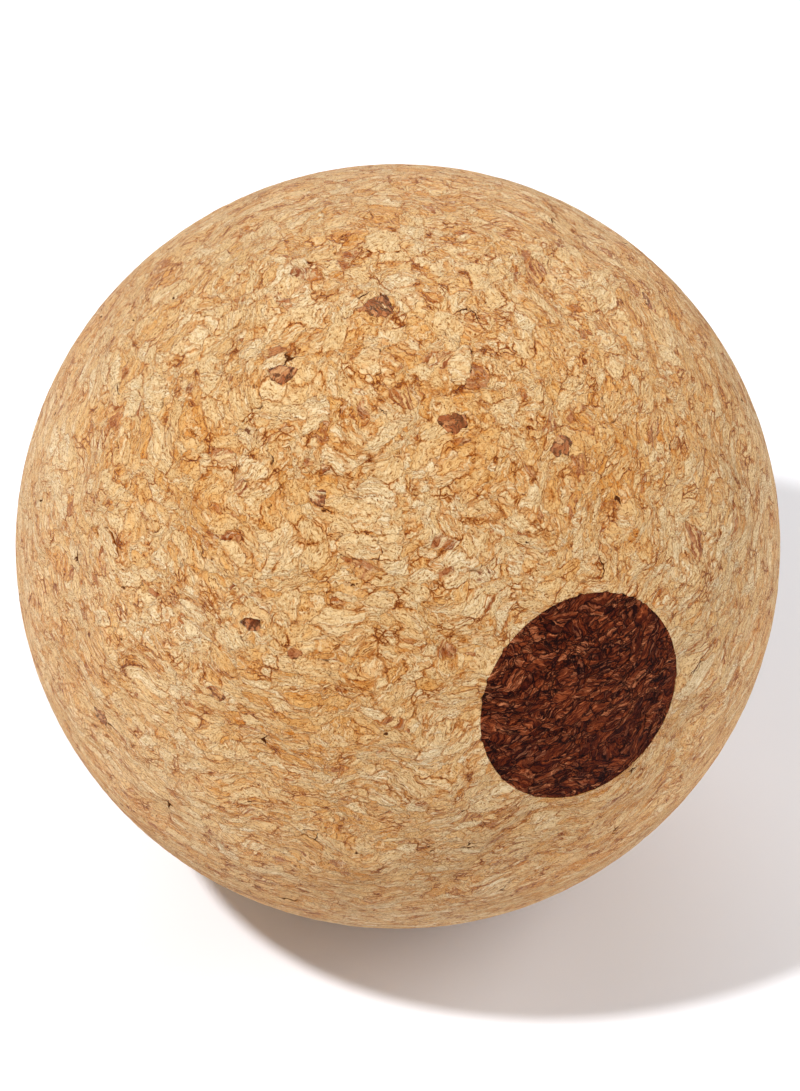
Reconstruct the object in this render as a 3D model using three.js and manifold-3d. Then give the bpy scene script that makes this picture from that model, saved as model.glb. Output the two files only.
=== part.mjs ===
// A massage ball turned from agglomerated cork. The body is a block of pressed cork granules, ground
// to a sphere. The largest cork flakes and the reddish bark chips that show at its surface are pieces
// of their own, bonded in pockets of the body, and a round mark is burnt into one side.
// Millimetres, +Z up, the origin at the centre of the ball.
import * as THREE from 'three';
import { mergeVertices } from 'three/addons/utils/BufferGeometryUtils.js';
import ManifoldModule from 'manifold-3d';

const wasm = await ManifoldModule();
wasm.setup();

// --- Driving dimensions -------------------------------------------------------------------------

const BALL_DIAMETER = 65;
const BALL_RADIUS = BALL_DIAMETER / 2;
const BALL_DETAIL = 11; // each edge of the icosahedron is cut into 12, so the ball is true to 0.05
const MERGE_DISTANCE = 1e-5; // corners closer than this are one corner

// The thickness of the bonding film between a piece and its pocket.
const BOND_GAP = 0.34;

// The block is pressed along one axis, which flattens every granule across that axis.
const PRESS_AXIS = direction(-98, 71);
const FLATNESS = 0.5; // a granule's thickness over its width
const BURIED = 0.3; // how far its middle lies under the surface, in parts of its reach
const GRANULE_DETAIL = 1; // each edge of the icosahedron is cut into 2
const LUMPINESS = 0.1; // how far its outline swells and narrows, in parts of its reach
const LUMPS = 3;

const MARK_DIAMETER = 18;
const MARK_DEPTH = 0.8;
const MARK_AXIS = direction(-61, 14);
const MARK_SIDES = 48;
const CLEAR_OF_BALL = 1; // how far the core that cuts the mark reaches past the surface

// The side of the ball away from the mark, where the pieces are spread evenly.
const FAR_AXIS = direction(90, -42);
const FAR_PIECES = 14;
const FAR_SPREAD = THREE.MathUtils.degToRad(95);
const GOLDEN_ANGLE = Math.PI * (3 - Math.sqrt(5));

// Their sizes and turns. Two in each five are chips of bark, the others flakes of cork.
const FAR_CYCLE = 5;
const FAR_CHIPS = [1, 3];
const FAR_LENGTH = { least: 2.6, range: 1.3 };
const FAR_WIDTH = { least: 1.8, range: 1.0 };
const FAR_SIZE_STEP = 0.618; // from one piece to the next, in parts of the range
const FAR_TURN = 70;

// --- Materials ----------------------------------------------------------------------------------

const corkMaterial = finish('#cfa375', 0.86);
const flakeMaterial = finish('#e0bd90', 0.84);
const barkMaterial = finish('#9c5a38', 0.88);
const burntMaterial = finish('#57281a', 0.78);

// --- Pieces -------------------------------------------------------------------------------------

// Each row: longitude and latitude in degrees, then length, width and turn about the press axis.
const NEAR_FLAKES = [
  [145, 87, 3.8, 3.1, 90],
  [-134, 57, 3.3, 3.0, 0],
  [-160, 64, 3.9, 1.9, 10],
  [-157, 49, 3.4, 3.2, 60],
  [10, 64, 3.6, 3.2, 40],
  [-67, 67, 3.5, 1.7, 85],
  [-64, 74, 2.6, 2.2, 150],
  [-32, 51, 2.7, 2.5, 20],
  [-97, 42, 3.9, 2.5, 5],
  [-123, 49, 2.8, 2.0, 155],
  [-117, 25, 2.7, 2.5, 0],
  [-103, 24, 3.9, 2.3, 5],
  [-145, 28, 3.8, 2.2, 130],
  [-101, 69, 2.3, 2.1, 45],
  [177, 79, 2.5, 2.3, 75],
  [-153, 40, 2.6, 1.8, 100],
];

const NEAR_CHIPS = [
  [-104, 78, 2.4, 2.0, 150],
  [-129, 63, 2.4, 1.6, 0],
  [-128, 53, 1.9, 1.4, 20],
  [-107, 48, 1.8, 1.5, 40],
  [-114, 28, 1.8, 1.4, 15],
  [-138, 35, 1.9, 1.6, 70],
  [-51, 51, 2.9, 1.5, 5],
  [-75, 59, 2.2, 1.4, 165],
  [-75, 37, 2.2, 1.5, 0],
  [-139, 1, 2.4, 2.1, 30],
  [-118, 16, 1.9, 1.5, 120],
  [6, 50, 3.0, 1.6, 95],
];

const ballSolid = toSolid(new THREE.IcosahedronGeometry(BALL_RADIUS, BALL_DETAIL));
const pockets = [];
const ball = new THREE.Group();

const flakes = [...NEAR_FLAKES.map(asPiece), ...farPieces((index) => !isFarChip(index))];
const chips = [...NEAR_CHIPS.map(asPiece), ...farPieces(isFarChip)];

flakes.forEach((piece, index) => addGranule(`cork_flake_${number(index)}`, piece, flakeMaterial));
chips.forEach((piece, index) => addGranule(`bark_chip_${number(index)}`, piece, barkMaterial));
addBurntMark();
addBody();

export default ball;

/** The pressed body: the ball, less a pocket for every piece bonded into it. */
function addBody() {
  const body = pockets.reduce((solid, pocket) => solid.subtract(pocket), ballSolid);
  addMesh('cork_body', toGeometry(body), corkMaterial);
}

/** A granule that the grinding of the ball has cut through, level with the surface. */
function addGranule(name, piece, material) {
  const place = granulePlace(piece);
  const granule = toSolid(granuleGeometry(piece, 0).applyMatrix4(place)).intersect(ballSolid);
  pockets.push(toSolid(granuleGeometry(piece, BOND_GAP).applyMatrix4(place)));
  const geometry = toGeometry(granule).applyMatrix4(place.clone().invert());
  const mesh = addMesh(name, geometry, material);
  place.decompose(mesh.position, mesh.quaternion, mesh.scale);
}

/** The burnt mark: a round shell of charred cork, level with the surface. */
function addBurntMark() {
  const charred = roundCore(MARK_DIAMETER, 0).intersect(ballSolid).subtract(innerBall(MARK_DEPTH));
  pockets.push(roundCore(MARK_DIAMETER, BOND_GAP).subtract(innerBall(MARK_DEPTH + BOND_GAP)));
  addMesh('burnt_mark', toGeometry(charred), burntMaterial);
}

/** A cylinder from the middle of the ball out past its surface, along the mark's axis. */
function roundCore(diameter, growth) {
  const height = BALL_RADIUS + CLEAR_OF_BALL;
  const core = new THREE.CylinderGeometry(diameter / 2 + growth, diameter / 2 + growth, height, MARK_SIDES);
  core.translate(0, height / 2, 0);
  core.applyQuaternion(new THREE.Quaternion().setFromUnitVectors(new THREE.Vector3(0, 1, 0), MARK_AXIS));
  return toSolid(core);
}

/** The ball without its outer layer of the given depth. */
function innerBall(depth) {
  return toSolid(new THREE.IcosahedronGeometry(BALL_RADIUS - depth, BALL_DETAIL));
}

/** A flat granule in its own frame, its thickness along Z, with a lumpy outline. */
function granuleGeometry({ length, width, turn }, growth) {
  const geometry = new THREE.IcosahedronGeometry(1, GRANULE_DETAIL);
  const reach = new THREE.Vector3(length / 2, width / 2, (width * FLATNESS) / 2).addScalar(growth);
  const point = new THREE.Vector3();
  const position = geometry.attributes.position;
  for (let index = 0; index < position.count; index += 1) {
    point.fromBufferAttribute(position, index);
    const around = Math.atan2(point.y, point.x);
    const lump = 1 + LUMPINESS * Math.sin(LUMPS * around + turn) * Math.hypot(point.x, point.y);
    point.multiply(reach).multiplyScalar(lump);
    position.setXYZ(index, point.x, point.y, point.z);
  }
  return geometry;
}

/** Where a granule lies: flat across the press axis, with its middle a little under the surface. */
function granulePlace({ outward, length, width, turn }) {
  const up = new THREE.Vector3(0, 0, 1);
  const pressed = new THREE.Quaternion().setFromUnitVectors(up, PRESS_AXIS);
  const turned = new THREE.Quaternion().setFromAxisAngle(up, THREE.MathUtils.degToRad(turn));
  const rotation = pressed.multiply(turned);
  const local = outward.clone().applyQuaternion(rotation.clone().invert());
  const reach = Math.hypot((local.x * length) / 2, (local.y * width) / 2, (local.z * width * FLATNESS) / 2);
  const middle = outward.clone().multiplyScalar(BALL_RADIUS - BURIED * reach);
  return new THREE.Matrix4().compose(middle, rotation, new THREE.Vector3(1, 1, 1));
}

/** A piece from its row of longitude, latitude, length, width and turn. */
function asPiece([longitude, latitude, length, width, turn]) {
  return { outward: direction(longitude, latitude), length, width, turn };
}

function isFarChip(index) {
  return FAR_CHIPS.includes(index % FAR_CYCLE);
}

/** The pieces on the far side, along an even spiral about its middle, that pass the given test. */
function farPieces(isWanted) {
  const toFarAxis = new THREE.Quaternion().setFromUnitVectors(new THREE.Vector3(0, 0, 1), FAR_AXIS);
  const pieces = [];
  for (let index = 0; index < FAR_PIECES; index += 1) {
    if (!isWanted(index)) continue;
    const share = (index + 0.5) / FAR_PIECES;
    const away = Math.acos(1 - share * (1 - Math.cos(FAR_SPREAD)));
    const around = index * GOLDEN_ANGLE;
    const outward = new THREE.Vector3(
      Math.sin(away) * Math.cos(around),
      Math.sin(away) * Math.sin(around),
      Math.cos(away),
    ).applyQuaternion(toFarAxis);
    const variation = (index * FAR_SIZE_STEP) % 1;
    const length = FAR_LENGTH.least + FAR_LENGTH.range * variation;
    const width = FAR_WIDTH.least + FAR_WIDTH.range * variation;
    pieces.push({ outward, length, width, turn: FAR_TURN * index });
  }
  return pieces;
}

/** The unit vector at a longitude, from +X towards +Y, and a latitude up from the XY plane. */
function direction(longitude, latitude) {
  const east = THREE.MathUtils.degToRad(longitude);
  const north = THREE.MathUtils.degToRad(latitude);
  const inPlane = Math.cos(north);
  return new THREE.Vector3(inPlane * Math.cos(east), inPlane * Math.sin(east), Math.sin(north));
}

function number(index) {
  return String(index + 1).padStart(2, '0');
}

function finish(color, roughness) {
  return new THREE.MeshStandardMaterial({ color, roughness, metalness: 0 });
}

function addMesh(name, geometry, material) {
  const mesh = new THREE.Mesh(geometry, material);
  mesh.name = name;
  ball.add(mesh);
  return mesh;
}

/** A closed geometry as a solid, for cutting and joining. */
function toSolid(geometry) {
  geometry.deleteAttribute('normal');
  geometry.deleteAttribute('uv');
  const merged = mergeVertices(geometry, MERGE_DISTANCE);
  return new wasm.Manifold(
    new wasm.Mesh({
      numProp: 3,
      vertProperties: new Float32Array(merged.attributes.position.array),
      triVerts: new Uint32Array(merged.index.array),
    }),
  );
}

/** A solid as a geometry. */
function toGeometry(solid) {
  const { vertProperties, triVerts } = solid.getMesh();
  const geometry = new THREE.BufferGeometry();
  geometry.setAttribute('position', new THREE.BufferAttribute(vertProperties, 3));
  geometry.setIndex(new THREE.BufferAttribute(triVerts, 1));
  return geometry;
}
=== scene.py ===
"""The looks of a cork massage ball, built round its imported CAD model: the granular cork skin, the flakes and
bark chips set in it, the burnt mark, the floor, the lights and the camera."""
import math
from itertools import combinations

import bpy
import numpy as np
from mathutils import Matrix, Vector
from mathutils.geometry import convex_hull_2d
from mathutils.noise import noise as smooth_noise


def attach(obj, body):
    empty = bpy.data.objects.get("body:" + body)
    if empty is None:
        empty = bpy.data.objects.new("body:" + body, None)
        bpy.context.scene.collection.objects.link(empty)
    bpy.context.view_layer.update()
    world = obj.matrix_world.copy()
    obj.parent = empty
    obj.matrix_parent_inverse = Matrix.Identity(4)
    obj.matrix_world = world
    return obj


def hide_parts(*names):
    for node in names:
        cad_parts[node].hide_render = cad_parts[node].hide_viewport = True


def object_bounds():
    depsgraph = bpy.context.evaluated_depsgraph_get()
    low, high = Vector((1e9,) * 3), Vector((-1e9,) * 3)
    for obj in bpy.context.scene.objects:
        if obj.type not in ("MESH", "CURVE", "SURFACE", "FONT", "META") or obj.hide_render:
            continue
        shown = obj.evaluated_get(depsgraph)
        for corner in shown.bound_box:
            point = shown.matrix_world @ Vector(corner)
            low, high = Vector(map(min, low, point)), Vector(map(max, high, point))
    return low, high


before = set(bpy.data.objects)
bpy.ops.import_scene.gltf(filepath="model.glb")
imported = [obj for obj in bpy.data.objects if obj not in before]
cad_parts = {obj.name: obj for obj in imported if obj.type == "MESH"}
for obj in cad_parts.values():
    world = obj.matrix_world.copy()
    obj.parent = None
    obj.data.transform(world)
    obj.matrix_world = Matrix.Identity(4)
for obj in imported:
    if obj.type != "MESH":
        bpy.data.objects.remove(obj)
cad_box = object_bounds()

MM = 0.001
RADIUS = (cad_box[1].x - cad_box[0].x) / 2 / MM      # the ball's radius in mm
CENTRE = (cad_box[0] + cad_box[1]) / 2

# The block was pressed along this axis, as in the CAD model, so granules are flat across it.
PRESS_LONGITUDE = math.radians(-98)
PRESS_LATITUDE = math.radians(71)


# --- Node trees ---------------------------------------------------------------------------------

# For each kind of value, what a Mix node calls it, the first of its two inputs, and its output.
MIX_NUMBERS = ("FLOAT", 2, 0)
MIX_VECTORS = ("VECTOR", 4, 1)
MIX_COLOURS = ("RGBA", 6, 2)
MIDDLE = (0.5, 0.5, 0.5)    # of a colour of noise


class Graph:
    """Adds nodes to a shader or geometry node tree. An input is a socket or a plain value."""

    def __init__(self, tree):
        self.tree = tree

    def node(self, kind, **settings):
        node = self.tree.nodes.new(kind)
        for name, value in settings.items():
            setattr(node, name, value)
        return node

    def feed(self, socket, value):
        if isinstance(value, bpy.types.NodeSocket):
            self.tree.links.new(value, socket)
        else:
            socket.default_value = value

    def math(self, operation, *values):
        node = self.node("ShaderNodeMath", operation=operation)
        for socket, value in zip(node.inputs, values):
            self.feed(socket, value)
        return node.outputs[0]

    def vector(self, operation, *values):
        node = self.node("ShaderNodeVectorMath", operation=operation)
        for socket, value in zip(node.inputs, values):
            self.feed(socket, value)
        return node.outputs["Value" if operation == "DOT_PRODUCT" else "Vector"]

    def scaled(self, vector, factor):
        node = self.node("ShaderNodeVectorMath", operation="SCALE")
        self.feed(node.inputs[0], vector)
        self.feed(node.inputs["Scale"], factor)
        return node.outputs["Vector"]

    def noise(self, vector, size, detail=2.0, roughness=0.5, colour=False):
        """Noise whose lumps are about size across, from 0 to 1."""
        node = self.node("ShaderNodeTexNoise")
        self.feed(node.inputs["Vector"], vector)
        node.inputs["Scale"].default_value = 1 / size
        node.inputs["Detail"].default_value = detail
        node.inputs["Roughness"].default_value = roughness
        return node.outputs[1 if colour else 0]

    def cells(self, vector, size, feature="F1"):
        """Cells that are about size across."""
        node = self.node("ShaderNodeTexVoronoi", feature=feature)
        self.feed(node.inputs["Vector"], vector)
        node.inputs["Scale"].default_value = 1 / size
        return node.outputs

    def step(self, value, low, high, start=0.0, end=1.0):
        """Goes smoothly from start, where value is low, to end, where it is high."""
        node = self.node("ShaderNodeMapRange", interpolation_type="SMOOTHSTEP")
        for socket, given in zip(node.inputs, (value, low, high, start, end)):
            self.feed(socket, given)
        return node.outputs[0]

    def near(self, distance, width):
        """1 up to where distance is 0, and from there falls smoothly to 0, where it is width."""
        return self.step(distance, 0.0, width, 1.0, 0.0)

    def blended(self, kind, factor, a, b, **settings):
        data_type, first_input, output = kind
        node = self.node("ShaderNodeMix", data_type=data_type, **settings)
        self.feed(node.inputs[0], factor)
        self.feed(node.inputs[first_input], a)
        self.feed(node.inputs[first_input + 1], b)
        return node.outputs[output]

    def mix(self, factor, a, b):
        """Mixes two number sockets or two vector sockets."""
        return self.blended(MIX_NUMBERS if a.type == "VALUE" else MIX_VECTORS, factor, a, b)

    def tint(self, factor, colour, other):
        """Mixes a colour with another, which is a socket or plain red, green and blue."""
        if not isinstance(other, bpy.types.NodeSocket):
            other = (*other, 1)
        return self.blended(MIX_COLOURS, factor, colour, other, blend_type="MIX")

    def multiplied(self, colour, other):
        return self.blended(MIX_COLOURS, 1.0, colour, other, blend_type="MULTIPLY")

    def ramp(self, value, stops):
        """A colour ramp through stops of (position, colour)."""
        node = self.node("ShaderNodeValToRGB")
        self.feed(node.inputs[0], value)
        elements = node.color_ramp.elements
        while len(elements) < len(stops):
            elements.new(0.5)
        for element, (position, colour) in zip(elements, stops):
            element.position = position
            element.color = (*colour, 1)
        return node.outputs[0]

    def split(self, vector):
        node = self.node("ShaderNodeSeparateXYZ")
        self.feed(node.inputs[0], vector)
        return node.outputs

    def join(self, x, y, z):
        node = self.node("ShaderNodeCombineXYZ")
        for socket, value in zip(node.inputs, (x, y, z)):
            self.feed(socket, value)
        return node.outputs[0]


def centred(g, value, gain):
    """Swings as value does, but about 0 and by gain times as much."""
    return g.math("MULTIPLY", g.math("SUBTRACT", value, 0.5), gain)


def shade(g, parts):
    """A number about 0.5 that swings with each value by its gain, from pairs of value and gain."""
    total = 0.5
    for value, gain in parts:
        total = g.math("ADD", total, centred(g, value, gain))
    return total


# --- The cork itself, as one solid pattern ------------------------------------------------------

PRESS_AXIS = Vector((math.cos(PRESS_LATITUDE) * math.cos(PRESS_LONGITUDE),
                     math.cos(PRESS_LATITUDE) * math.sin(PRESS_LONGITUDE),
                     math.sin(PRESS_LATITUDE)))
ALONG = PRESS_AXIS.cross(Vector((1, 0, 0))).normalized()
ACROSS = PRESS_AXIS.cross(ALONG)

# The granules, mm
GRANULE = 2.2               # across a large granule
SMALL_GRANULE = 1.1
BROKEN_SHARE = 0.45         # the part of the large granules that is broken into small ones
FLATTENED = 2.5             # how many times thinner a granule is along the press axis
SWAY_SIZE = 7.0             # the size of the slow waves in the layers
SWAY = 5.0                  # what their noise is multiplied by
FRAY_SIZE = 1.1             # the size of the fraying of the granules' edges
FRAY = (1.3, 1.3, 0.7)

# A granule's growth lines, mm. A hair is a thin dark line.
LEAN = (2.0, 2.0, 0.0)      # how far they can lean from lying flat
LINES_ALONG = 0.42          # how their pattern is scaled along them and across them
LINES_ACROSS = 2.3
MOVED_APART = 60.0          # gives each granule a part of the noise for itself
BAND_SIZE = 0.9
HAIR_SIZE = 0.9
HAIR_WIDTH = 0.07           # as a difference of the noise
PALE_BESIDE = 0.09          # from a hair to the pale line beside it, as a difference of the noise
HAIRY_SIZE = 2.0            # the size of the areas that have hairs
HAIRY = (0.38, 0.62)        # of the noise: below the first there are none
FIBRE_SIZE = 0.25
HAIR_NOISE_AT = (7.3, 2.1, 4.4)
FIBRE_NOISE_AT = (3.1, 8.2, 5.7)

# What lies across the granules, mm
SPECK_SIZE = 0.19
SPECK_FLATNESS = 1.6
CRUMB_SIZE = 0.7
BROKEN_SIZE = 1.5
DRIFT_SIZE = 17.0           # the slow drift of the shade over the ball
SEAM_WIDTH = 0.10
STAIN_WIDTH = 0.24

# A few cracks gape along the granules' edges, each close to one of these scattered spots, mm
CRACKS_APART = 5.0
CRACK_CORE = 0.2            # how far from its spot a crack has its full width
CRACK_REACH = 0.3           # how far from its spot the shortest crack ends
CRACK_REACH_RANGE = 0.8     # how much further the longest one does
CRACK_WIDTH = 0.11
CRACK_LIPS = (-0.04, 0.02)
HOLES_APART = 2.4           # between pinholes
HOLE_SIZES = 0.10           # how widely their radii spread about 0, over HOLES_APART, so many can't be seen
HOLE_LIP = 0.03

# How far each thing stands out or, below 0, lies deeper, mm
LEVELS = 0.05
CRACK_RISE = -0.12
FINE_LEVELS = 0.6           # the part of the levels that the bump has
FINE_RISES = {"crumbly": 0.06, "lines": 0.05, "hairs": -0.05, "hole": -0.08, "seam": -0.04,
              "grain": 0.04, "specks": 0.18}


def pressed(g, position):
    """Position in the pressed block: Z runs along the press axis, and the layers are a little wavy."""
    block = g.join(*(g.vector("DOT_PRODUCT", position, tuple(axis)) for axis in (ALONG, ACROSS, PRESS_AXIS)))
    sway = g.vector("SUBTRACT", g.noise(block, SWAY_SIZE, detail=1.0, colour=True), MIDDLE)
    fray = g.vector("SUBTRACT", g.noise(block, FRAY_SIZE, detail=3.0, roughness=0.6, colour=True), MIDDLE)
    bent = g.vector("ADD", block, g.scaled(sway, SWAY))
    return g.vector("ADD", bent, g.vector("MULTIPLY", fray, FRAY))


def granules(g, block):
    """The granule that a point lies in: its three random numbers, the distance to its edge, and the distance
    to the edge of the large granule that it broke off, both in mm."""
    flat = g.vector("MULTIPLY", block, (1, 1, FLATTENED))
    large = g.cells(flat, GRANULE)
    large_edge = g.math("MULTIPLY", g.cells(flat, GRANULE, "DISTANCE_TO_EDGE")[0], GRANULE)
    small = g.cells(flat, SMALL_GRANULE)
    small_edge = g.math("MULTIPLY", g.cells(flat, SMALL_GRANULE, "DISTANCE_TO_EDGE")[0], SMALL_GRANULE)
    is_broken = g.math("LESS_THAN", g.split(large["Color"])[2], BROKEN_SHARE)
    edge = g.mix(is_broken, large_edge, g.math("MINIMUM", large_edge, small_edge))
    chance = g.mix(is_broken, large["Color"], small["Color"])
    return chance, edge, large_edge


def growth_lines(g, block, chance):
    """A granule's yearly growth, which lies at its own angle: soft bands, hairs, the pale line beside each
    hair, and fine fibres, all from 0 to 1."""
    lean = g.vector("MULTIPLY", g.vector("SUBTRACT", chance, MIDDLE), LEAN)
    normal = g.vector("NORMALIZE", g.vector("ADD", lean, (0, 0, 1)))
    depth = g.math("MULTIPLY", g.vector("DOT_PRODUCT", block, normal), LINES_ACROSS)
    stretched = g.vector("ADD", g.scaled(block, LINES_ALONG), g.scaled(normal, depth))
    apart = g.vector("ADD", stretched, g.scaled(chance, MOVED_APART))
    bands = g.noise(apart, BAND_SIZE, roughness=0.6)
    ripple = g.noise(g.vector("ADD", apart, HAIR_NOISE_AT), HAIR_SIZE, detail=1.5)
    ripple = g.math("SUBTRACT", ripple, 0.5)
    hairs = g.near(g.math("ABSOLUTE", ripple), HAIR_WIDTH)
    pale = g.near(g.math("ABSOLUTE", g.math("SUBTRACT", ripple, PALE_BESIDE)), HAIR_WIDTH)
    is_hairy = g.step(g.noise(apart, HAIRY_SIZE, detail=1.0), *HAIRY)
    fibres = g.noise(g.vector("ADD", apart, FIBRE_NOISE_AT), FIBRE_SIZE, detail=1.5, roughness=0.6)
    return bands, g.math("MULTIPLY", hairs, is_hairy), g.math("MULTIPLY", pale, is_hairy), fibres


def cork_pattern(g, position, granule=None, rim=None):
    """Everything that the relief and the colour of cork both need, at a position in mm.
    A flake gives its own three random numbers and the distance to its rim."""
    block = pressed(g, position)
    if granule is None:
        chance, edge, large_edge = granules(g, block)
    else:
        chance, edge, large_edge = granule, rim, rim
    lines, hairs, pale, grain = growth_lines(g, block, chance)
    spots = g.cells(block, CRACKS_APART)
    from_spot = g.math("MULTIPLY", spots["Distance"], CRACKS_APART)
    longer = g.math("MULTIPLY", g.split(spots["Color"])[0], CRACK_REACH_RANGE)
    gape = g.step(from_spot, CRACK_CORE, g.math("ADD", CRACK_REACH, longer), CRACK_WIDTH, 0.0)
    crack = g.step(g.math("SUBTRACT", large_edge, gape), *CRACK_LIPS, 1.0, 0.0)
    holes = g.cells(block, HOLES_APART)
    hole_size = centred(g, g.split(holes["Color"])[0], HOLE_SIZES)
    hole = g.near(g.math("SUBTRACT", holes["Distance"], hole_size), HOLE_LIP)
    return {
        "chance": chance,
        "lines": lines,
        "hairs": hairs,
        "pale": pale,
        "grain": grain,
        "seam": g.near(edge, SEAM_WIDTH),
        "stain": g.near(edge, STAIN_WIDTH),
        "crack": crack,
        "hole": hole,
        "open": g.math("MAXIMUM", crack, hole),
        "specks": g.noise(g.vector("MULTIPLY", block, (1, 1, SPECK_FLATNESS)), SPECK_SIZE, roughness=0.65),
        "crumbly": g.noise(block, CRUMB_SIZE),
        "broken": g.noise(block, BROKEN_SIZE),
        "drift": g.noise(position, DRIFT_SIZE, detail=1.0),
    }


def cork_height(g, cork, coarse):
    """How far the surface stands out, in mm: the coarse relief for the mesh, or the fine one for the bump."""
    level = centred(g, g.split(cork["chance"])[0], LEVELS)
    crack = g.math("MULTIPLY", cork["crack"], CRACK_RISE)
    if coarse:
        return g.math("ADD", level, crack)
    height = g.math("ADD", g.math("MULTIPLY", level, FINE_LEVELS), crack)
    for name, rise in FINE_RISES.items():
        height = g.math("ADD", height, g.math("MULTIPLY", cork[name], rise))
    return height


# --- Colours ------------------------------------------------------------------------------------

# A granule's colour, from the darkest to the palest
TINTS = [
    (0.00, (0.51, 0.185, 0.036)),
    (0.17, (0.570, 0.268, 0.086)),
    (0.36, (0.607, 0.344, 0.147)),
    (0.50, (0.628, 0.384, 0.180)),
    (0.64, (0.641, 0.414, 0.208)),
    (0.83, (0.660, 0.460, 0.255)),
    (1.00, (0.690, 0.525, 0.325)),
]
TINT_BY_GRANULE = 0.48
TINT_BY_DRIFT = 0.6
TINT_BY_CRUMBS = 0.25
TINT_BY_LINES = 0.7
RED_GRANULES = 0.95         # a granule is reddish bark where its second random number is over this
RED_TINTS = [(0.3, (0.19, 0.050, 0.020)), (0.6, (0.40, 0.17, 0.075))]
RED_LINES = (0.40, 0.56)
PALE_LINE = (0.74, 0.560, 0.350)
PALE_LINE_SHARE = 0.4
HAIR_BROWN = (0.38, 0.100, 0.010)
HAIR_SHARE = 0.5
STAIN = (0.50, 0.168, 0.030)
STAINED = (0.38, 0.62, 0.08, 0.75)          # the limits of the noise, and the stain's share at each
SEAM_BROWN = (0.17, 0.036, 0.004)
SEAMS_DRAWN = (0.52, 0.66)
# Painted shade: the near-black brown that fills the cracks and pinholes stands in for the shade in their
# depths.
PORE_SHADE = (0.085, 0.022, 0.004)

# What the fibres and the specks multiply the colour by
GRAIN_TINTS = [(0.27, (0.58, 0.44, 0.30)), (0.46, (1, 1, 1)), (0.70, (1.06, 1.08, 1.11))]
SPECK_TINTS = [(0.30, (0.30, 0.17, 0.07)), (0.45, (1, 1, 1)), (0.62, (1.16, 1.22, 1.28))]

# Painted bounce light: shadowed cork glows orange with the light of its neighbours, so each channel of the
# colour is bent to make the dark parts the most saturated.
PAINTED_BOUNCE_POWER = (0.93, 1.06, 1.20)
PAINTED_BOUNCE_GAIN = (0.974, 1.112, 1.425)

# The burnt mark
CHAR_TINTS = [(0.05, (0.022, 0.002, 0.001)), (0.45, (0.083, 0.012, 0.003)), (0.70, (0.16, 0.031, 0.009)),
              (1.0, (0.28, 0.085, 0.035))]
CHAR_BY_GRANULE = 0.45
CHAR_BY_CRUMBS = 0.7
CHAR_BY_LINES = 1.9
CHAR_PALE_LINE = (0.32, 0.100, 0.045)
CHAR_GRAIN_TINTS = [(0.28, (0.12, 0.08, 0.06)), (0.48, (1, 1, 1)), (0.70, (2.2, 2.7, 2.8))]
SOOT = (0.006, 0.001, 0.001)
SOOT_IN_SEAMS = 0.9

# The chips of bark
BARK_TINTS = [(0.25, (0.12, 0.026, 0.008)), (0.42, (0.33, 0.088, 0.027)), (0.56, (0.46, 0.170, 0.060)),
              (0.72, (0.58, 0.32, 0.145))]
BARK_BY_LINES = 0.8
BARK_HAIRS = (0.06, 0.014, 0.006)
BARK_SPLITS = (0.035, 0.008, 0.004)
SPLIT_WIDTHS = (0.01, 0.045, 0.85, 0.0)     # the limits of the noise, and the colour's share at each
BARK_ON_CORK = (0.46, 0.62, 0.9, 0.05)
BARK_BY_CHIP = 0.5

# Light on dry cork
ROUGHNESS = (0.3, 0.7, 0.7, 0.9)            # the limits of the growth lines, and the roughness at each
SPECULAR = 0.05
DOWN = 0.35                 # how much of a soft sheen cut cork has
DOWN_ROUGHNESS = 0.3
DOWN_TINT = (1.0, 0.82, 0.66)


def cork_colour(g, cork):
    granule, second, _ = g.split(cork["chance"])
    colour = g.ramp(shade(g, [(granule, TINT_BY_GRANULE), (cork["drift"], TINT_BY_DRIFT),
                              (cork["crumbly"], TINT_BY_CRUMBS), (cork["lines"], TINT_BY_LINES)]), TINTS)
    is_red = g.math("GREATER_THAN", second, RED_GRANULES)
    reddish = g.math("MULTIPLY", is_red, g.step(cork["lines"], *RED_LINES))
    colour = g.tint(reddish, colour, g.ramp(cork["crumbly"], RED_TINTS))
    colour = g.tint(g.math("MULTIPLY", cork["pale"], PALE_LINE_SHARE), colour, PALE_LINE)
    colour = g.tint(g.math("MULTIPLY", cork["hairs"], HAIR_SHARE), colour, HAIR_BROWN)
    stained = g.step(cork["broken"], *STAINED)
    colour = g.tint(g.math("MULTIPLY", cork["stain"], stained), colour, STAIN)
    drawn = g.step(cork["broken"], *SEAMS_DRAWN)
    colour = g.tint(g.math("MULTIPLY", cork["seam"], drawn), colour, SEAM_BROWN)
    colour = g.multiplied(colour, g.ramp(cork["grain"], GRAIN_TINTS))
    colour = g.multiplied(colour, g.ramp(cork["specks"], SPECK_TINTS))
    # Painted bounce light: the colour's channels are bent so that dark colours are more saturated.
    with_painted_bounce = g.join(*(g.math("MULTIPLY", g.math("POWER", channel, power), gain)
                        for channel, power, gain in zip(g.split(colour), PAINTED_BOUNCE_POWER, PAINTED_BOUNCE_GAIN)))
    # The cracks and pinholes are painted dark: painted shade in their depths.
    return g.tint(cork["open"], with_painted_bounce, PORE_SHADE)


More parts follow.
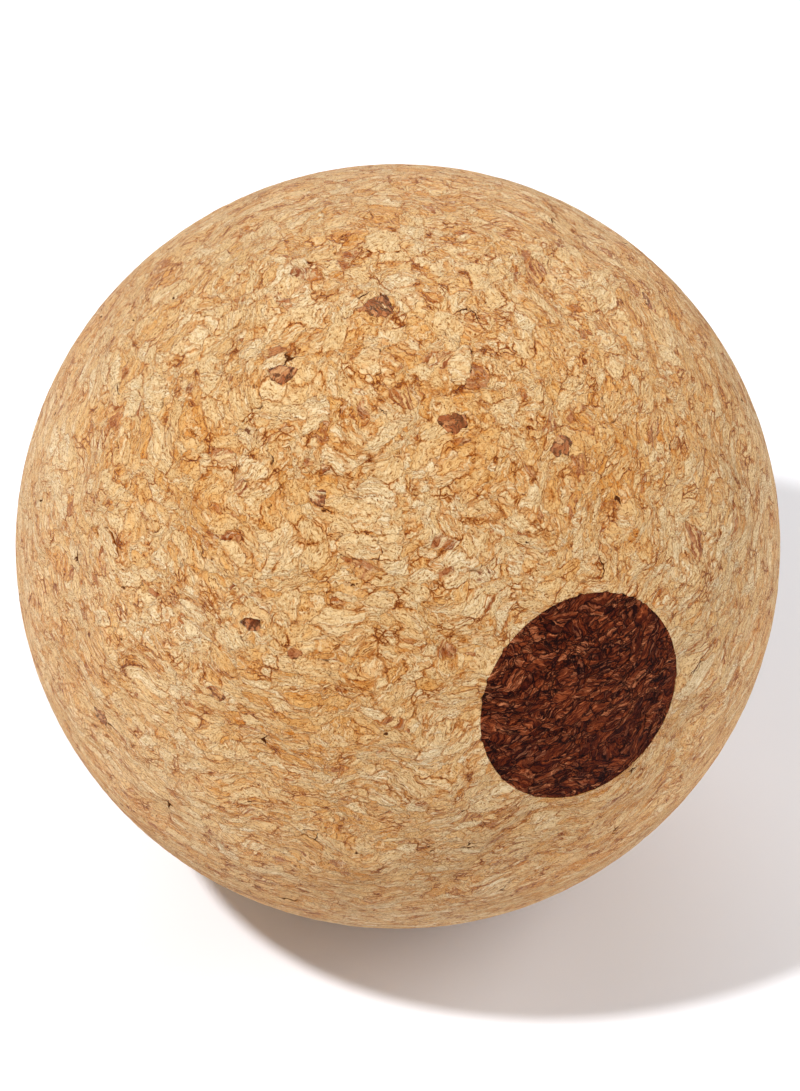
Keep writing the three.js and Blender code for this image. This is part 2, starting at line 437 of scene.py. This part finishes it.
def relief_modifier():
    """Moves a mesh's points out along the ball's radius by the coarse relief of the cork."""
    tree = bpy.data.node_groups.new("cork_relief", "GeometryNodeTree")
    tree.interface.new_socket("Geometry", in_out="INPUT", socket_type="NodeSocketGeometry")
    tree.interface.new_socket("Geometry", in_out="OUTPUT", socket_type="NodeSocketGeometry")
    g = Graph(tree)
    source = g.node("NodeGroupInput")
    result = g.node("NodeGroupOutput")
    at = g.node("GeometryNodeInputNamedAttribute", data_type="FLOAT_VECTOR")
    at.inputs["Name"].default_value = "cork_mm"
    weight = g.node("GeometryNodeInputNamedAttribute", data_type="FLOAT")
    weight.inputs["Name"].default_value = "relief"
    height = cork_height(g, cork_pattern(g, at.outputs["Attribute"]), coarse=True)
    height = g.math("MULTIPLY", g.math("MULTIPLY", height, weight.outputs["Attribute"]), MM)
    move = g.node("GeometryNodeSetPosition")
    g.feed(move.inputs["Geometry"], source.outputs[0])
    g.feed(move.inputs["Offset"], g.scaled(g.vector("NORMALIZE", at.outputs["Attribute"]), height))
    g.feed(result.inputs[0], move.outputs[0])
    return tree


def new_material(name):
    material = bpy.data.materials.new(name)
    material.use_nodes = True
    tree = material.node_tree
    shader = tree.nodes["Principled BSDF"]
    return material, Graph(tree), shader


def attribute(g, name, output):
    node = g.node("ShaderNodeAttribute", attribute_type="GEOMETRY", attribute_name=name)
    return node.outputs[output]


def bump(g, shader, height_mm):
    node = g.node("ShaderNodeBump")
    node.inputs["Distance"].default_value = MM
    g.feed(node.inputs["Height"], height_mm)
    g.feed(shader.inputs["Normal"], node.outputs[0])


def finish(g, shader, cork, colour, down):
    """A dry surface with a soft down on it, which the cracks and pinholes are without."""
    g.feed(shader.inputs["Base Color"], colour)
    g.feed(shader.inputs["Roughness"], g.step(cork["lines"], *ROUGHNESS))
    shader.inputs["Specular IOR Level"].default_value = SPECULAR
    if down:
        covered = g.math("SUBTRACT", 1.0, cork["open"])
        g.feed(shader.inputs["Sheen Weight"], g.math("MULTIPLY", covered, down))
        shader.inputs["Sheen Roughness"].default_value = DOWN_ROUGHNESS
        shader.inputs["Sheen Tint"].default_value = (*DOWN_TINT, 1)
    bump(g, shader, cork_height(g, cork, coarse=False))


def cork_material():
    material, g, shader = new_material("agglomerated_cork")
    cork = cork_pattern(g, attribute(g, "cork_mm", "Vector"))
    finish(g, shader, cork, cork_colour(g, cork), DOWN)
    return material


def burnt_material():
    material, g, shader = new_material("burnt_cork")
    cork = cork_pattern(g, attribute(g, "cork_mm", "Vector"))
    granule = g.split(cork["chance"])[0]
    colour = g.ramp(shade(g, [(granule, CHAR_BY_GRANULE), (cork["crumbly"], CHAR_BY_CRUMBS),
                              (cork["lines"], CHAR_BY_LINES)]), CHAR_TINTS)
    colour = g.tint(g.math("MULTIPLY", cork["pale"], PALE_LINE_SHARE), colour, CHAR_PALE_LINE)
    colour = g.multiplied(colour, g.ramp(cork["grain"], CHAR_GRAIN_TINTS))
    colour = g.tint(cork["hairs"], colour, SOOT)
    colour = g.tint(g.math("MULTIPLY", cork["seam"], SOOT_IN_SEAMS), colour, SOOT)
    finish(g, shader, cork, colour, down=0)
    return material


def bark_colour(g, cork):
    """Bark, which splits, with some of the cork that it grew on."""
    mottled = g.math("ADD", cork["crumbly"], centred(g, cork["lines"], BARK_BY_LINES))
    bark = g.tint(cork["hairs"], g.ramp(mottled, BARK_TINTS), BARK_HAIRS)
    from_split = g.math("ABSOLUTE", g.math("SUBTRACT", cork["crumbly"], 0.5))
    bark = g.tint(g.step(from_split, *SPLIT_WIDTHS), bark, BARK_SPLITS)
    by_chip = centred(g, g.split(cork["chance"])[1], BARK_BY_CHIP)
    share = g.step(g.math("SUBTRACT", mottled, by_chip), *BARK_ON_CORK)
    return g.tint(share, cork_colour(g, cork), bark)


def flake_material(name, colour_of):
    material, g, shader = new_material(name)
    cork = cork_pattern(g, attribute(g, "cork_mm", "Vector"), attribute(g, "granule", "Vector"),
                        attribute(g, "rim", "Fac"))
    finish(g, shader, cork, colour_of(g, cork), DOWN)
    return material


# --- Meshes -------------------------------------------------------------------------------------

# The skin, mm. An inlay is a flake, a chip or the mark.
SKIN_CUTS = 96              # parts that each edge of the icosahedron is cut into
EDGE_OVER_RADIUS = 1.05     # the length of the icosahedron's edge over the ball's radius
RIM_CATCH = 0.5             # points this near a rim are moved onto it, in parts of an edge of the mesh
POCKET_DEPTH = 0.45         # how far the skin drops under an inlay
NEAR_INLAY = 3.0            # how far round an inlay the skin is looked at
RELIEF_FADE = 0.8           # from a rim, where the skin has no relief, to where it has all of it

# An inlay's outline, mm
ON_SKIN = 0.15              # points of its node less deep than this are on the skin
HALF_BOND = 0.15            # the outline grows by this, so that it meets the skin
FLAKE_RAGGEDNESS = 0.35     # in parts of its reach
CHIP_RAGGEDNESS = 0.45
ROUNDING_PASSES = 4
WAVES = ((1.0, 1.0), (2.4, 0.7), (5.1, 0.4))    # of the ragged edge: how fine and how strong each is
WAVE_REACH = 1.3
WAVE_APART = 40             # gives each inlay a part of the noise for itself

# An inlay's piece, mm
LIP = 0.05                  # how far its edge runs on under the skin
LIP_DROP = 0.04
FOOT_INSET = 0.15           # how much smaller its underside is
FLAKE_THICKNESS = 0.9
MARK_THICKNESS = 0.5
FLAKE_CROWN = 0.03          # how far a flake's middle stands out, and its edge lies below that
FLAKE_DIP = 0.04
FLAKE_DIP_POWER = 4
CHIP_DIP = 0.03
MARK_DROP = 0.02

# Points round a piece, and rings of them
FLAKE_MESH = (72, 12)
CHIP_MESH = (64, 9)
MARK_MESH = (256, 72)

# The ranges of a flake's three random numbers. No flake has the darkest tints or is reddish.
FLAKE_CHANCES = ((0.3, 0.9), (0.0, 0.9), (0.0, 1.0))
SEED = 5


def geodesic_sphere(cuts):
    """Unit points and triangles of an icosahedron whose faces are each cut into cuts x cuts triangles."""
    golden = (1 + math.sqrt(5)) / 2
    corners = []
    for a in (-1, 1):
        for b in (-golden, golden):
            corners += [(0, a, b), (a, b, 0), (b, 0, a)]
    corners = np.array(corners, float)
    # Neighbouring corners are 2 apart, and three that are all neighbours make a side.
    neighbours = {(p, q) for p, q in combinations(range(len(corners)), 2)
                  if math.isclose(np.linalg.norm(corners[p] - corners[q]), 2)}
    sides = [side for side in combinations(range(len(corners)), 3)
             if neighbours.issuperset(combinations(side, 2))]
    grid = [(r, c) for r in range(cuts + 1) for c in range(cuts + 1 - r)]
    place = {spot: n for n, spot in enumerate(grid)}
    rows, columns = np.array(grid).T
    triangles = []
    for r in range(cuts):
        for c in range(cuts - r):
            triangles.append((place[r, c], place[r + 1, c], place[r, c + 1]))
            if c < cuts - r - 1:
                triangles.append((place[r + 1, c], place[r + 1, c + 1], place[r, c + 1]))
    triangles = np.array(triangles)
    points = []
    faces = []
    for i, j, k in sides:
        a, b, c = corners[i], corners[j], corners[k]
        if np.dot(np.cross(b - a, c - a), a) < 0:
            b, c = c, b
        spots = a + (b - a) * rows[:, None] / cuts + (c - a) * columns[:, None] / cuts
        faces.append(triangles + len(points) * len(spots))
        points.append(spots / np.linalg.norm(spots, axis=1)[:, None])
    points = np.concatenate(points)
    # Points that two sides share become one.
    _, first, same = np.unique(np.round(points, 7), axis=0, return_index=True, return_inverse=True)
    return points[first], same.reshape(-1)[np.concatenate(faces)]


class Inlay:
    """A piece set in the skin: its outline on the ball, taken from its CAD node."""

    ANGLES = 96
    UPRIGHT = 0.9           # an axis with more than this of Z in it is near enough to Z
    TINY = 1e-9

    def __init__(self, node, raggedness):
        points = np.array([v.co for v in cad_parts[node].data.vertices]) / MM
        on_skin = points[np.linalg.norm(points, axis=1) > RADIUS - ON_SKIN]
        middle = on_skin.mean(0)
        self.name = node
        self.axis = middle / np.linalg.norm(middle)
        is_upright = abs(self.axis[2]) >= self.UPRIGHT
        helper = np.array([1.0, 0, 0]) if is_upright else np.array([0, 0, 1.0])
        self.side = np.cross(helper, self.axis)
        self.side /= np.linalg.norm(self.side)
        self.other = np.cross(self.axis, self.side)
        flat = self.flatten(on_skin / np.linalg.norm(on_skin, axis=1)[:, None])
        hull = flat[convex_hull_2d([tuple(p) for p in flat])]
        self.radii = self.outline(hull, raggedness)

    def flatten(self, unit):
        """Points on the unit sphere as distances in mm along the ball from the middle, in two directions."""
        x, y, z = unit @ self.side, unit @ self.other, unit @ self.axis
        away = np.arctan2(np.hypot(x, y), z) * RADIUS
        turn = np.arctan2(y, x)
        return np.stack([away * np.cos(turn), away * np.sin(turn)], 1)

    def outline(self, hull, raggedness):
        """The distance to the rim in each direction: that of the hull, rounded and then made ragged."""
        turns = np.arange(self.ANGLES) * 2 * math.pi / self.ANGLES
        looking = np.stack([np.cos(turns), np.sin(turns)], 1)
        along = np.roll(hull, -1, axis=0) - hull
        outward = np.stack([along[:, 1], -along[:, 0]], 1)
        outward *= np.sign((outward * hull).sum(1))[:, None]
        facing = looking @ outward.T
        side_distance = (outward * hull).sum(1) / np.maximum(facing, self.TINY)
        reach = np.where(facing > self.TINY, side_distance, np.inf).min(1)
        for _ in range(ROUNDING_PASSES):
            reach = (np.roll(reach, 1) + 2 * reach + np.roll(reach, -1)) / 4
        rough = []
        for turn in turns:
            spot = Vector((math.cos(turn), math.sin(turn), 0)) * WAVE_REACH + Vector(self.axis) * WAVE_APART
            rough.append(sum(strength * smooth_noise(spot * fineness) for fineness, strength in WAVES))
        return reach * (1 + raggedness * np.array(rough)) + HALF_BOND

    def radius_at(self, turn):
        turns = np.arange(self.ANGLES + 1) * 2 * math.pi / self.ANGLES
        return np.interp(turn % (2 * math.pi), turns, np.append(self.radii, self.radii[0]))

    def unit(self, away, turn):
        """The unit vector at a distance in mm along the ball from the middle, in the direction turn."""
        angle = np.asarray(away) / RADIUS
        return (np.cos(angle)[..., None] * self.axis
                + (np.sin(angle) * np.cos(turn))[..., None] * self.side
                + (np.sin(angle) * np.sin(turn))[..., None] * self.other)


def make_object(name, points_mm, faces, material, attributes, relief=None):
    """attributes gives the kind and the values of each of the points' attributes."""
    mesh = bpy.data.meshes.new(name)
    mesh.from_pydata((points_mm * MM).tolist(), [], faces)
    mesh.materials.append(material)
    for key, (kind, values) in attributes.items():
        layer = mesh.attributes.new(key, kind, "POINT")
        layer.data.foreach_set("vector" if kind == "FLOAT_VECTOR" else "value",
                               np.ascontiguousarray(values, np.float32).ravel())
    mesh.shade_smooth()
    thing = bpy.data.objects.new(name, mesh)
    bpy.context.scene.collection.objects.link(thing)
    if relief:
        modifier = thing.modifiers.new("relief", "NODES")
        modifier.node_group = relief
    return thing


def make_skin(inlays, material, relief):
    """The ball's skin, with a shallow pocket under every inlay."""
    unit, faces = geodesic_sphere(SKIN_CUTS)
    catch = RIM_CATCH * RADIUS * EDGE_OVER_RADIUS / SKIN_CUTS
    height = np.full(len(unit), RADIUS)
    weight = np.ones(len(unit))
    for inlay in inlays:
        near = np.flatnonzero(unit @ inlay.axis > math.cos((inlay.radii.max() + NEAR_INLAY) / RADIUS))
        flat = inlay.flatten(unit[near])
        turn = np.arctan2(flat[:, 1], flat[:, 0])
        limit = inlay.radius_at(turn)
        past = np.hypot(flat[:, 0], flat[:, 1]) - limit
        on_rim = np.abs(past) < catch
        unit[near[on_rim]] = inlay.unit(limit[on_rim], turn[on_rim])
        inside = past <= -catch
        height[near[inside]] = RADIUS - POCKET_DEPTH
        faded = np.clip(np.abs(past) / RELIEF_FADE, 0, 1)
        weight[near] = np.minimum(weight[near], np.where(on_rim, 0.0, faded))
        weight[near[inside]] = 0
    place = unit * RADIUS
    skin = make_object("cork_skin", unit * height[:, None], faces.tolist(), material,
                       {"cork_mm": ("FLOAT_VECTOR", place), "relief": ("FLOAT", weight)}, relief)
    sharpen_rims(skin.data, faces, height == RADIUS)
    return skin


def sharpen_rims(mesh, faces, is_outer):
    """Shades the skin and the pocket walls apart: the edges where they meet are sharp."""
    edges = np.empty(faces.size, np.int32)
    mesh.loops.foreach_get("edge_index", edges)
    is_wall = ~is_outer[faces].all(1)
    along_rim = is_outer[faces] & is_outer[np.roll(faces, -1, axis=1)]
    is_sharp = np.zeros(len(mesh.edges), bool)
    is_sharp[edges.reshape(faces.shape)[is_wall[:, None] & along_rim]] = True
    mesh.attributes.new("sharp_edge", "BOOLEAN", "EDGE").data.foreach_set("value", is_sharp)


def flake_top(share):
    return FLAKE_CROWN - FLAKE_DIP * share ** FLAKE_DIP_POWER


def chip_top(share):
    return -CHIP_DIP * share ** 2


def mark_top(share):
    return -MARK_DROP


def make_patch(inlay, size, thickness, top, material, chance, relief=None):
    """A closed piece that fills an inlay's outline. size is its points round and its rings. top gives its
    height over the ball's radius, in mm, from the share of the way from the middle to the rim."""
    around, rings = size
    turns = np.arange(around) * 2 * math.pi / around
    limit = inlay.radius_at(turns)
    shares = np.sqrt(np.linspace(0, 1, rings + 1)[1:])
    points = [inlay.axis * (RADIUS + top(0.0))]
    place = [inlay.axis * RADIUS]
    rim = [limit.mean()]
    for share in shares:
        unit = inlay.unit(limit * share, turns)
        points.extend(unit * (RADIUS + top(share)))
        place.extend(unit * RADIUS)
        rim.extend(limit * (1 - share))
    for grow, drop in ((LIP, LIP_DROP), (0.0, thickness / 2), (-FOOT_INSET, thickness)):
        unit = inlay.unit(limit + grow, turns)
        points.extend(unit * (RADIUS - drop))
        place.extend(unit * RADIUS)
        rim.extend(limit * 0)
    points.append(inlay.axis * (RADIUS - thickness))
    place.append(inlay.axis * RADIUS)
    rim.append(0.0)
    end = len(points) - 1
    last = end - around
    faces = [(0, 1 + n, 1 + (n + 1) % around) for n in range(around)]
    for low in range(1, last, around):
        high = low + around
        faces += [(low + n, high + n, high + (n + 1) % around, low + (n + 1) % around) for n in range(around)]
    faces += [(end, last + (n + 1) % around, last + n) for n in range(around)]
    weight = np.zeros(len(points))
    weight[:1 + rings * around] = 1
    attributes = {"cork_mm": ("FLOAT_VECTOR", np.array(place)), "rim": ("FLOAT", np.array(rim)),
                  "granule": ("FLOAT_VECTOR", np.tile(chance, (len(points), 1))), "relief": ("FLOAT", weight)}
    return make_object(inlay.name + "_piece", np.array(points), faces, material, attributes, relief)


# --- Floor, light and camera --------------------------------------------------------------------

CAMERA_ELEVATION = math.radians(42)
CAMERA_DISTANCE = 15 * RADIUS * MM
FRAME_WIDTH = 800
FRAME_HEIGHT = 1091
BALL_SHARE = 0.4778         # the ball's radius over the frame's width
BALL_OFF_CENTRE = (0.0019, 0.0008)      # how far the ball is off the frame's middle, over the frame's height
SENSOR = 36                 # mm
NEAREST = 0.01              # what the camera can see, m
FURTHEST = 20

FLOOR_HALF = 4.0            # m
FLOOR_WHITE = (0.91, 0.92, 0.965)
FLOOR_ROUGHNESS = 0.9
FLOOR_SPECULAR = 0.1

WHITE = (1, 1, 1)
WARM = (1, 0.94, 0.88)
KEY_DISTANCE = 20 * RADIUS * MM
FILL_DISTANCE = 0.6         # m
KEY_SOFTNESS = 0.025        # the radius of the lamp, m
FILL_SOFTNESS = 0.25

# A lamp's light travels towards its azimuth, from +X towards +Y, and down by its altitude, both in degrees.
# The lamps shine all round, so none leaves an edge on the floor behind it.
LAMPS = [
    # name, azimuth, altitude, distance, softness, watts, colour
    ("key", 31, 57, KEY_DISTANCE, KEY_SOFTNESS, 15.8, WHITE),
    ("right_fill", 180, 30, FILL_DISTANCE, FILL_SOFTNESS, 9.6, WHITE),
    ("back_fill", -90, 40, FILL_DISTANCE, FILL_SOFTNESS, 4.8, WHITE),
    ("low_left", 50, 3, FILL_DISTANCE, FILL_SOFTNESS, 2.6, WARM),
    ("low_right", 130, 3, FILL_DISTANCE, FILL_SOFTNESS, 2.4, WARM),
    ("left_fill", 0, 5, FILL_DISTANCE, FILL_SOFTNESS, 2.4, WARM),
]
STUDIO_LIGHT = (1, 0.95, 0.90)
STUDIO_STRENGTH = 0.20


def make_camera():
    data = bpy.data.cameras.new("camera")
    data.sensor_width = SENSOR
    focal_over_width = BALL_SHARE * math.sqrt((CAMERA_DISTANCE / (RADIUS * MM)) ** 2 - 1)
    data.lens = focal_over_width * SENSOR * FRAME_WIDTH / FRAME_HEIGHT
    data.shift_x, data.shift_y = BALL_OFF_CENTRE
    data.clip_start = NEAREST
    data.clip_end = FURTHEST
    camera = bpy.data.objects.new("camera", data)
    back = Vector((0, -math.cos(CAMERA_ELEVATION), math.sin(CAMERA_ELEVATION)))
    camera.location = CENTRE + back * CAMERA_DISTANCE
    camera.rotation_euler = (-back).to_track_quat("-Z", "Y").to_euler()
    bpy.context.scene.collection.objects.link(camera)
    bpy.context.scene.camera = camera


def make_floor():
    material, _, shader = new_material("white_floor")
    shader.inputs["Base Color"].default_value = (*FLOOR_WHITE, 1)
    shader.inputs["Roughness"].default_value = FLOOR_ROUGHNESS
    shader.inputs["Specular IOR Level"].default_value = FLOOR_SPECULAR
    mesh = bpy.data.meshes.new("floor")
    level = CENTRE.z - RADIUS * MM
    corners = [(x * FLOOR_HALF, y * FLOOR_HALF, level) for x, y in ((-1, -1), (1, -1), (1, 1), (-1, 1))]
    mesh.from_pydata(corners, [], [(0, 1, 2, 3)])
    mesh.materials.append(material)
    floor = bpy.data.objects.new("floor", mesh)
    bpy.context.scene.collection.objects.link(floor)


def make_lights():
    for name, azimuth, altitude, distance, softness, watts, colour in LAMPS:
        turn = math.radians(azimuth)
        fall = math.radians(altitude)
        towards = Vector((math.cos(fall) * math.cos(turn), math.cos(fall) * math.sin(turn), -math.sin(fall)))
        data = bpy.data.lights.new(name, "POINT")
        data.shadow_soft_size = softness
        data.energy = watts
        data.color = colour
        lamp = bpy.data.objects.new(name, data)
        lamp.location = CENTRE - towards * distance
        bpy.context.scene.collection.objects.link(lamp)
    world = bpy.data.worlds.new("studio")
    world.use_nodes = True
    background = world.node_tree.nodes["Background"]
    background.inputs["Color"].default_value = (*STUDIO_LIGHT, 1)
    background.inputs["Strength"].default_value = STUDIO_STRENGTH
    bpy.context.scene.world = world
    bpy.context.scene.view_settings.view_transform = "Standard"


# --- Putting it together ------------------------------------------------------------------------

make_camera()
make_lights()
make_floor()

flake_nodes = sorted(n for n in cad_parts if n.startswith("cork_flake"))
chip_nodes = sorted(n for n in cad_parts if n.startswith("bark_chip"))
flakes = [Inlay(n, FLAKE_RAGGEDNESS) for n in flake_nodes]
chips = [Inlay(n, CHIP_RAGGEDNESS) for n in chip_nodes]
mark = Inlay("burnt_mark", 0.0)
relief = relief_modifier()

skin = make_skin(flakes + chips + [mark], cork_material(), relief)
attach(skin, "root")
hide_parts("cork_body")

pale = flake_material("cork_flake", cork_colour)
bark = flake_material("bark", bark_colour)
draw = np.random.default_rng(SEED)
for inlay in flakes:
    chance = tuple(draw.uniform(low, high) for low, high in FLAKE_CHANCES)
    piece = make_patch(inlay, FLAKE_MESH, FLAKE_THICKNESS, flake_top, pale, chance)
    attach(piece, "root")
    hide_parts(inlay.name)
for inlay in chips:
    chance = tuple(draw.uniform(size=3))
    piece = make_patch(inlay, CHIP_MESH, FLAKE_THICKNESS, chip_top, bark, chance)
    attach(piece, "root")
    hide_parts(inlay.name)
char = make_patch(mark, MARK_MESH, MARK_THICKNESS, mark_top, burnt_material(), MIDDLE, relief)
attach(char, "root")
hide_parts("burnt_mark")
